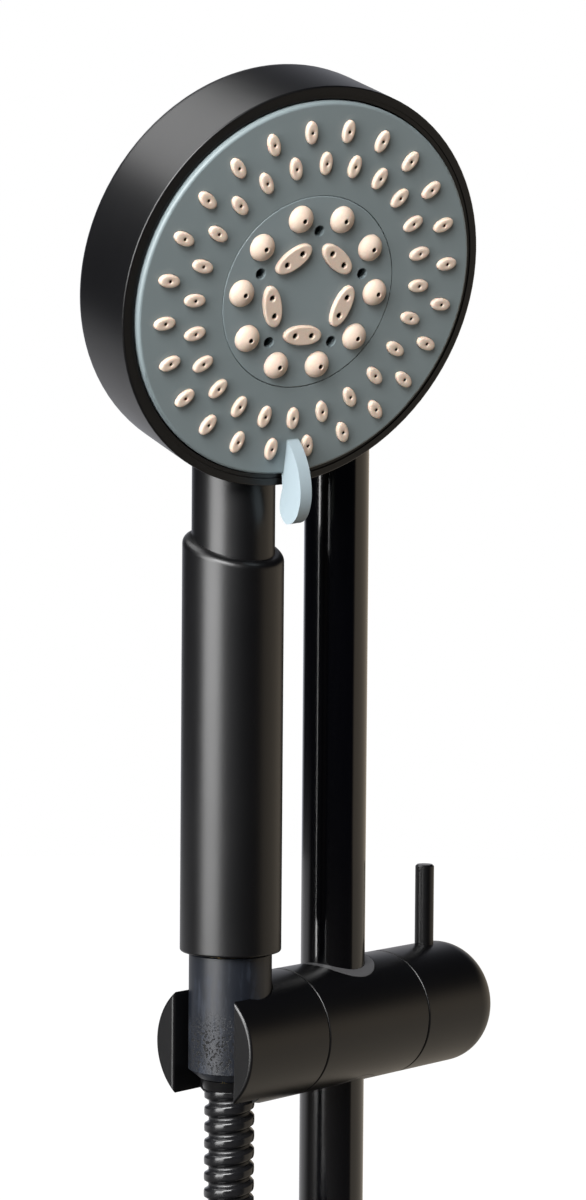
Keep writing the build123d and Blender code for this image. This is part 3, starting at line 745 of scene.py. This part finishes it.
class SHOWER_OT_centre_nozzles(bpy.types.Operator):
    """Ten round nozzles and five twin-jet ovals in the centre of the face"""
    bl_idname = "shower.centre_nozzles"
    bl_label = "Centre nozzles"

    def execute(self, context):
        face = context.scene.shower_face
        step = 2 * pi / DOMES
        domes = on_circle(self.dome(face.wide_jet), DOMES, face.dome_ring,
                          face.centre_turn + step / 2)
        ovals = on_circle(self.oval(face.wide_jet), OVALS, face.oval_ring,
                          face.centre_turn + step)
        points, quads, triangles, bore_shade = gather([domes, ovals])
        rubber = silicone("centre_silicone", context.scene.shower_finish.nozzle)
        piece = make_piece("centre_nozzles", points, quads, triangles, rubber, ("bore_shade", bore_shade))
        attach(piece, "selector")
        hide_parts("centre_nozzle_mat")
        return {"FINISHED"}

    def dome(self, jet):
        """Round nozzle: an ellipsoid cap, radius cos(t) and height sin(t), with a jet hole on top."""
        circle = rounded(DOME_RADIUS, DOME_RADIUS, 2.0, DOME_COLUMNS)
        lift = np.linspace(0, radians(DOME_TOP), 8)
        cap = [(cos(t), 0, DOME_FOOT + DOME_RISE * sin(t)) for t in lift]
        return nub(circle, [(1.0, 0, ROOT), *cap, *DOME_BORE], jet)

    def oval(self, jet):
        """Twin-jet nozzle: rings shrink to the middle, and two jet holes sink into the flat top by
        depth / (1 + exp((d - jet) / edge)), where d is the distance from the nearer jet's middle."""
        columns, rows = OVAL_COLUMNS, OVAL_ROWS
        outline = rounded(*OVAL_OUTLINE, columns)
        inner = rows - len(OVAL_SHARES)
        share = np.concatenate([OVAL_SHARES, np.linspace(0.84, 0.03, inner)])
        height = np.concatenate([OVAL_HEIGHTS, np.full(inner, OVAL_TOP)]) * MM
        flat = share[:, None, None] * outline
        jets = np.array([[0, JET_OFFSET], [0, -JET_OFFSET]])
        near = np.linalg.norm(flat[:, :, None] - jets, axis=-1).min(axis=-1)
        sunk = 1 / (1 + np.exp((near - jet * 1.05) / JET_EDGE))
        sunk[:2] = 0
        level = height[:, None] - JET_DEPTH * sunk
        points = np.concatenate([flat, level[..., None]], axis=-1).reshape(-1, 3)
        poles = np.array([[0, 0, height[0]], [0, 0, height[-1]]])
        # Painted shade: points sunk in the jet holes are marked for the near-black colour
        bore_shade = np.append((sunk > 0.25).reshape(-1).astype(float), [0, 0])
        return (np.concatenate([points, poles]), grid_faces(rows, columns),
                end_faces(rows, columns), bore_shade)


class SHOWER_OT_finishes(bpy.types.Operator):
    """Gives every carried-over part its finish"""
    bl_idname = "shower.finishes"
    bl_label = "Finishes"

    def execute(self, context):
        own = context.scene.shower_finish
        by_slot = {
            "black_metal": powder_coat("black_coat", own.black, 0.34),
            "gloss_black": lacquer("rail_lacquer", own.rail),
            "grey_plastic": moulded("bush_plastic", own.bush, 0.42),
            "black_plastic": powder_coat("black_shell", own.black, 0.35),
            "dark_nut": handled_nut("nut_plating", own.nut),
            "slate_plastic": spray_face("face_plastic", own.face, own.lever),
            "nozzle_rubber": silicone("mat_silicone", own.nozzle),
            "hose_black": ribbed_gloss("coil_skin", own.hose),
            "inner_plastic": moulded("inner_plastic", INNER_PLASTIC, 0.5),
            "steel": bright_metal("steel", STEEL, 0.22),
            "brass": bright_metal("brass", BRASS, 0.25),
            "seal_rubber": moulded("seal_rubber", SEAL_RUBBER, 0.6),
        }
        for node, part in frame["nodes"].items():
            part.data.materials.clear()
            part.data.materials.append(by_slot[SLOT_OF[node]])
        return {"FINISHED"}


class SHOWER_PT_panel(bpy.types.Panel):
    """Lists the pieces of the shower"""
    bl_idname = "SHOWER_PT_panel"
    bl_label = "Shower"
    bl_space_type = "VIEW_3D"
    bl_region_type = "UI"
    bl_category = "Shower"

    def draw(self, context):
        for operator in OPERATORS:
            self.layout.operator(operator.bl_idname)


GROUPS = {"shower_hose": ShowerHoseSettings, "shower_face": ShowerFaceSettings,
          "shower_finish": ShowerFinishSettings, "shower_stage": ShowerStageSettings}
OPERATORS = (SHOWER_OT_stage, SHOWER_OT_hose, SHOWER_OT_nozzles, SHOWER_OT_centre_nozzles,
             SHOWER_OT_finishes)


def register():
    """Adds the settings, the operators and the panel."""
    for name, group in GROUPS.items():
        bpy.utils.register_class(group)
        setattr(bpy.types.Scene, name, bpy.props.PointerProperty(type=group))
    for item in (*OPERATORS, SHOWER_PT_panel):
        bpy.utils.register_class(item)


def unregister():
    """Takes them away again."""
    for item in (SHOWER_PT_panel, *reversed(OPERATORS)):
        bpy.utils.unregister_class(item)
    for name, group in reversed(GROUPS.items()):
        delattr(bpy.types.Scene, name)
        bpy.utils.unregister_class(group)


def main():
    """Makes everything in order."""
    register()
    bpy.ops.shower.stage()
    bpy.ops.shower.hose()
    bpy.ops.shower.nozzles()
    bpy.ops.shower.centre_nozzles()
    bpy.ops.shower.finishes()


if __name__ == "__main__":
    main()
